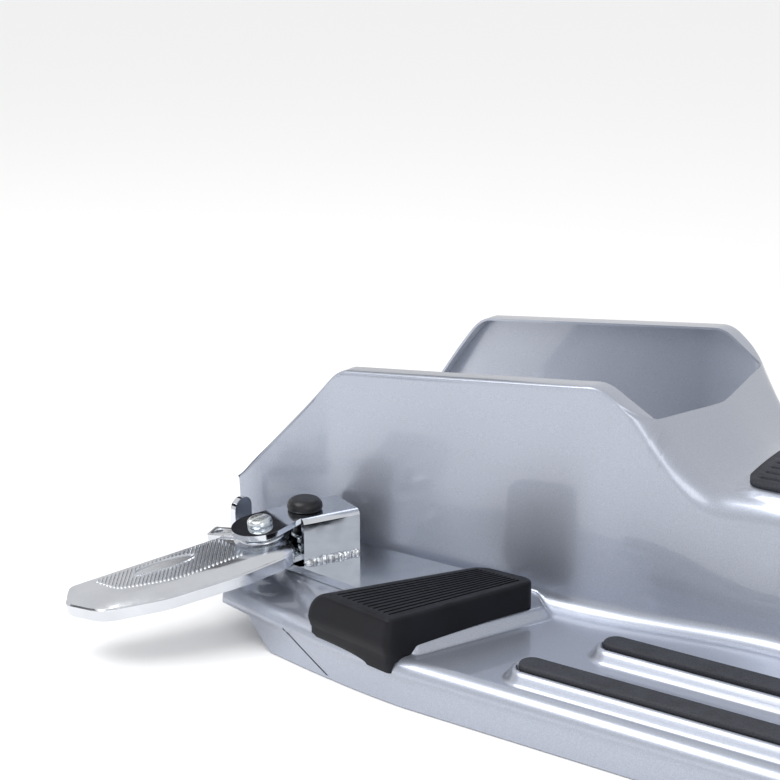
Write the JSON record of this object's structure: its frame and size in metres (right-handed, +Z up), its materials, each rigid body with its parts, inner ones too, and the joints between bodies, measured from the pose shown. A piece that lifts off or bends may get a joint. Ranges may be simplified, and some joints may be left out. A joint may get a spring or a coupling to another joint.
{
  "type": "scooter floorboard",
  "caption": "Pressed steel scooter floor with a raised tunnel and rear upstand walls, rubber strips, heel pads and folding passenger footpegs on plated brackets.",
  "frame": {"origin": "centre of the four frame bolts, in the underside plane of the skirt flanges", "axes": "+X to the front of the scooter, +Y to its left, +Z up"},
  "size_m": [0.5642, 0.552, 0.1737],
  "materials": {
    "silver_paint": "gloss metallic paint, light bluish silver",
    "strip_rubber": "grained dark grey rubber",
    "pad_rubber": "satin black moulded rubber",
    "chromed_steel": "bright chrome plate",
    "polished_alloy": "polished cast alloy",
    "zinc_steel": "bright zinc plate",
    "weld_metal": "rough bright weld"
  },
  "bodies": {
    "floorboard": {"floor_panel": "silver_paint", "tunnel_mat": "strip_rubber", "right_outer_strip": "strip_rubber", "right_inner_strip": "strip_rubber", "right_heel_pad": "pad_rubber", "right_base_plate": "chromed_steel", "right_plate_screws": "zinc_steel", "right_plate_nuts": "zinc_steel", "right_peg_bracket": "chromed_steel", "right_weld_bead": "weld_metal", "right_stop_buffer": "pad_rubber", "right_buffer_stud": "zinc_steel", "right_buffer_washer": "zinc_steel", "right_buffer_nut": "zinc_steel", "right_pivot_screw": "zinc_steel", "right_pivot_nut": "zinc_steel", "right_upper_washer": "chromed_steel", "right_spring_washer": "zinc_steel", "right_lower_washer": "zinc_steel", "left_outer_strip": "strip_rubber", "left_inner_strip": "strip_rubber", "left_heel_pad": "pad_rubber", "left_base_plate": "chromed_steel", "left_plate_screws": "zinc_steel", "left_plate_nuts": "zinc_steel", "left_peg_bracket": "chromed_steel", "left_weld_bead": "weld_metal", "left_stop_buffer": "pad_rubber", "left_buffer_stud": "zinc_steel", "left_buffer_washer": "zinc_steel", "left_buffer_nut": "zinc_steel", "left_pivot_screw": "zinc_steel", "left_pivot_nut": "zinc_steel", "left_upper_washer": "chromed_steel", "left_spring_washer": "zinc_steel", "left_lower_washer": "zinc_steel"},
    "right_peg": {"right_footpeg": "polished_alloy"},
    "left_peg": {"left_footpeg": "polished_alloy"}
  },
  "joints": [
    {"name": "right_peg_fold", "type": "hinge", "parent": "floorboard", "child": "right_peg", "pos_m": [-0.3297, -0.1624, 0.0665], "axis": [-0.0566, -0.1271, 0.9903], "range_deg": [-60, 0]},
    {"name": "left_peg_fold", "type": "hinge", "parent": "floorboard", "child": "left_peg", "pos_m": [-0.3297, 0.1624, 0.0665], "axis": [-0.0566, 0.1271, 0.9903], "range_deg": [0, 60]}
  ]
}
